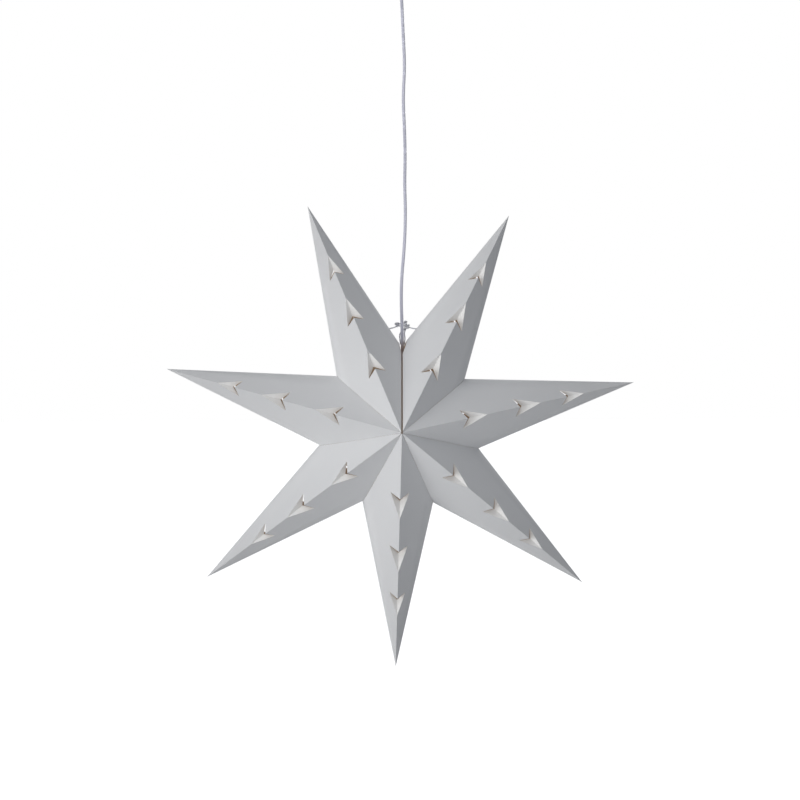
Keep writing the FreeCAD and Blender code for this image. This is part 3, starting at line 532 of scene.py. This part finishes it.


# painted shade: the white card is darkened from the star's centre towards the tips of its arms
CARD = paint_shade_towards_tips(grained_material(
    "white_card", (0.91, 0.91, 0.91), (0.86, 0.86, 0.865), roughness=0.78, mottle=0.35, scale=900.0,
    relief=0.10, edge=0.0005), least=0.86)
# the inner skin is painted warm beige-brown as the shade and the light through the card inside the star, with
# a faint painted glow
INNER_PAINTED_SHADE_GLOW = grained_material(
    "card_inside_painted_shade_glow", (0.78, 0.68, 0.56), (0.70, 0.59, 0.46), roughness=0.85, mottle=0.5, scale=900.0,
    relief=0.12, Emission_Color=(0.50, 0.36, 0.22, 1), Emission_Strength=0.07)
# the cut edges and the faces in the seam are painted brown as the shade in the slits and gaps, with a faint
# painted glow
CUT_PAINTED_SHADE = grained_material(
    "cut_edge_painted_shade_glow", (0.40, 0.27, 0.16), (0.30, 0.20, 0.11), roughness=0.85, mottle=0.6, scale=900.0,
    relief=0.12, edge=0.0, Emission_Color=(0.30, 0.18, 0.09, 1), Emission_Strength=0.13)
# painted light: the flaps are the same white card made lighter, with a faint painted glow
FLAP_PAINTED_LIGHT = grained_material(
    "card_flap_painted_light", (0.95, 0.94, 0.92), (0.91, 0.90, 0.87), roughness=0.78, mottle=0.3, scale=900.0,
    relief=0.08, Emission_Color=(1.0, 0.98, 0.95, 1), Emission_Strength=0.10)
SHEATH = grained_material(
    "cord_sheath", (0.82, 0.82, 0.93), (0.76, 0.76, 0.88), roughness=0.42, scale=600.0, relief=0.08,
    edge=0.0)
STRING = grained_material(
    "cotton_string", (0.94, 0.94, 0.98), (0.85, 0.85, 0.91), roughness=0.9, mottle=0.8, scale=2500.0,
    relief=0.3, edge=0.0)
PLASTIC = grained_material(
    "white_plastic", (0.83, 0.83, 0.81), (0.78, 0.78, 0.76), roughness=0.28, scale=300.0, relief=0.05)
CUP_PLASTIC = grained_material(
    "cup_plastic", (0.84, 0.84, 0.83), (0.80, 0.80, 0.79), roughness=0.38, scale=500.0, relief=0.08)
NYLON = grained_material(
    "nylon", (0.78, 0.76, 0.70), (0.70, 0.68, 0.60), roughness=0.45, mottle=0.4, scale=500.0)
CERAMIC = grained_material(
    "ceramic", (0.80, 0.76, 0.66), (0.68, 0.62, 0.52), roughness=0.35, mottle=0.5, scale=350.0)
BLOCK_PLASTIC = grained_material(
    "block_plastic", (0.78, 0.76, 0.69), (0.70, 0.67, 0.58), roughness=0.4, scale=400.0, relief=0.08)
NICKEL = grained_material(
    "nickel", (0.68, 0.66, 0.62), (0.52, 0.50, 0.46), roughness=0.24, mottle=0.5, scale=700.0,
    relief=0.15, Metallic=1.0)
BRASS = grained_material(
    "brass", (0.72, 0.54, 0.22), (0.52, 0.37, 0.14), roughness=0.30, mottle=0.5, scale=700.0,
    relief=0.15, Metallic=1.0)
STEEL = grained_material(
    "zinc_steel", (0.60, 0.61, 0.63), (0.42, 0.43, 0.45), roughness=0.34, mottle=0.6, scale=500.0,
    relief=0.2, Metallic=1.0)
BROWN_CORE = grained_material(
    "brown_insulation", (0.12, 0.055, 0.025), (0.09, 0.04, 0.02), roughness=0.4, mottle=0.4, scale=500.0)
BLUE_CORE = grained_material(
    "blue_insulation", (0.02, 0.10, 0.40), (0.02, 0.07, 0.30), roughness=0.4, mottle=0.4, scale=500.0)
BLACK_GLASS = grained_material(
    "black_vitreous", (0.015, 0.015, 0.018), (0.03, 0.03, 0.03), roughness=0.15, mottle=0.4,
    scale=300.0, relief=0.08)
BOARD = grained_material(
    "light_board", (0.76, 0.76, 0.70), (0.68, 0.66, 0.50), roughness=0.4, mottle=0.5, scale=700.0)
OPAL = grained_material(
    "opal_glass", (0.86, 0.85, 0.82), (0.82, 0.81, 0.78), roughness=0.12, mottle=0.2, scale=60.0,
    relief=0.02, Subsurface_Weight=0.3, Subsurface_Scale=0.004)

FINISHES = {
    "card": CARD, "string": STRING, "cord_sheath": SHEATH, "holder_plastic": PLASTIC, "nylon": NYLON,
    "ceramic": CERAMIC, "nickel": NICKEL, "brass": BRASS, "steel": STEEL, "core_brown": BROWN_CORE,
    "core_blue": BLUE_CORE, "black_glass": BLACK_GLASS, "opal_glass": OPAL, "board": BOARD,
    "block_plastic": BLOCK_PLASTIC, "cup_plastic": CUP_PLASTIC,
}


def finish_piece(piece, *materials):
    """Gives the piece these materials, in the order of its faces' finishes."""
    if len(piece.data.materials):
        piece.data.materials.clear()
    for material in materials:
        piece.data.materials.append(material)


finish_piece(cord, SHEATH)
for arm in arms:
    finish_piece(arm, CARD, INNER_PAINTED_SHADE_GLOW, CUT_PAINTED_SHADE, FLAP_PAINTED_LIGHT)
for piece in tie:
    finish_piece(piece, STRING)
for part in frame["record"]["subparts"]:
    if part["node"] in solids:
        finish_piece(solids[part["node"]], FINISHES[part["material_slot"]])


# ---- lights and backdrop --------------------------------------------------------------
AMBIENT_COLOUR, AMBIENT_STRENGTH = (0.89, 0.93, 1.0, 1), 0.25
FLOOR_MIDDLE, FLOOR_REACH = (0, 4, -2.1), 14
FLOOR_GREY, FLOOR_ROUGHNESS, FLOOR_LIFT = 0.9, 0.9, 0.9


def area_light(name, place, size, power):
    """A rectangular lamp turned to the star."""
    data = bpy.data.lights.new(name, "AREA")
    data.shape = "RECTANGLE"
    data.size, data.size_y = size
    data.energy = power
    light = bpy.data.objects.new(name, data)
    bpy.context.scene.collection.objects.link(light)
    light.location = Vector(place)
    light.rotation_mode = "QUATERNION"
    light.rotation_quaternion = (STAR - Vector(place)).to_track_quat("-Z", "Y")
    return light


def make_light():
    """Three lamps, and a pale surround that looks white to the camera, in reflections and through glass."""
    world = bpy.data.worlds.new("studio")
    bpy.context.scene.world = world
    world.use_nodes = True
    tree = world.node_tree
    ambient = tree.nodes["Background"]
    ambient.inputs["Color"].default_value = AMBIENT_COLOUR
    ambient.inputs["Strength"].default_value = AMBIENT_STRENGTH
    rays = node(tree, "ShaderNodeLightPath")
    seen = node(tree, "ShaderNodeMath", {0: rays.outputs["Is Camera Ray"], 1: rays.outputs["Is Glossy Ray"]},
                operation="MAXIMUM")
    seen = node(tree, "ShaderNodeMath", {0: seen.outputs[0], 1: rays.outputs["Is Transmission Ray"]},
                operation="MAXIMUM")
    white = node(tree, "ShaderNodeBackground", {"Color": (1, 1, 1, 1), "Strength": 1.0})
    mix = node(tree, "ShaderNodeMixShader",
               {0: seen.outputs[0], 1: ambient.outputs[0], 2: white.outputs[0]})
    tree.links.new(mix.outputs[0], tree.nodes["World Output"].inputs["Surface"])
    area_light("key_left", (-3.0, -1.74, -1.2), size=(1.8, 2.6), power=50.5)
    area_light("high_front", (-1.1, -1.44, 1.9), size=(2.2, 2.2), power=20)
    area_light("high_back", (1.7, 3.2, 0.6), size=(1.2, 1.2), power=26)


def make_floor():
    """A pale floor that still shows the lamp's shadow, lifted towards white for the camera alone."""
    bm = bmesh.new()
    bmesh.ops.create_grid(bm, x_segments=1, y_segments=1, size=FLOOR_REACH)
    bmesh.ops.translate(bm, verts=bm.verts, vec=FLOOR_MIDDLE)
    floor = piece_from("floor", bm)
    material = bpy.data.materials.new("pale_floor")
    material.use_nodes = True
    tree = material.node_tree
    surface = tree.nodes["Principled BSDF"]
    surface.inputs["Base Color"].default_value = (FLOOR_GREY, FLOOR_GREY, FLOOR_GREY, 1)
    surface.inputs["Roughness"].default_value = FLOOR_ROUGHNESS
    lifted = node(tree, "ShaderNodeEmission", {"Color": (1, 1, 1, 1), "Strength": FLOOR_LIFT})
    both = node(tree, "ShaderNodeAddShader", {0: surface.outputs[0], 1: lifted.outputs[0]})
    rays = node(tree, "ShaderNodeLightPath")
    mix = node(tree, "ShaderNodeMixShader",
               {0: rays.outputs["Is Camera Ray"], 1: surface.outputs[0], 2: both.outputs[0]})
    tree.links.new(mix.outputs[0], tree.nodes["Material Output"].inputs["Surface"])
    finish_piece(floor, material)


make_light()
make_floor()
bpy.context.scene.view_settings.view_transform = "Standard"
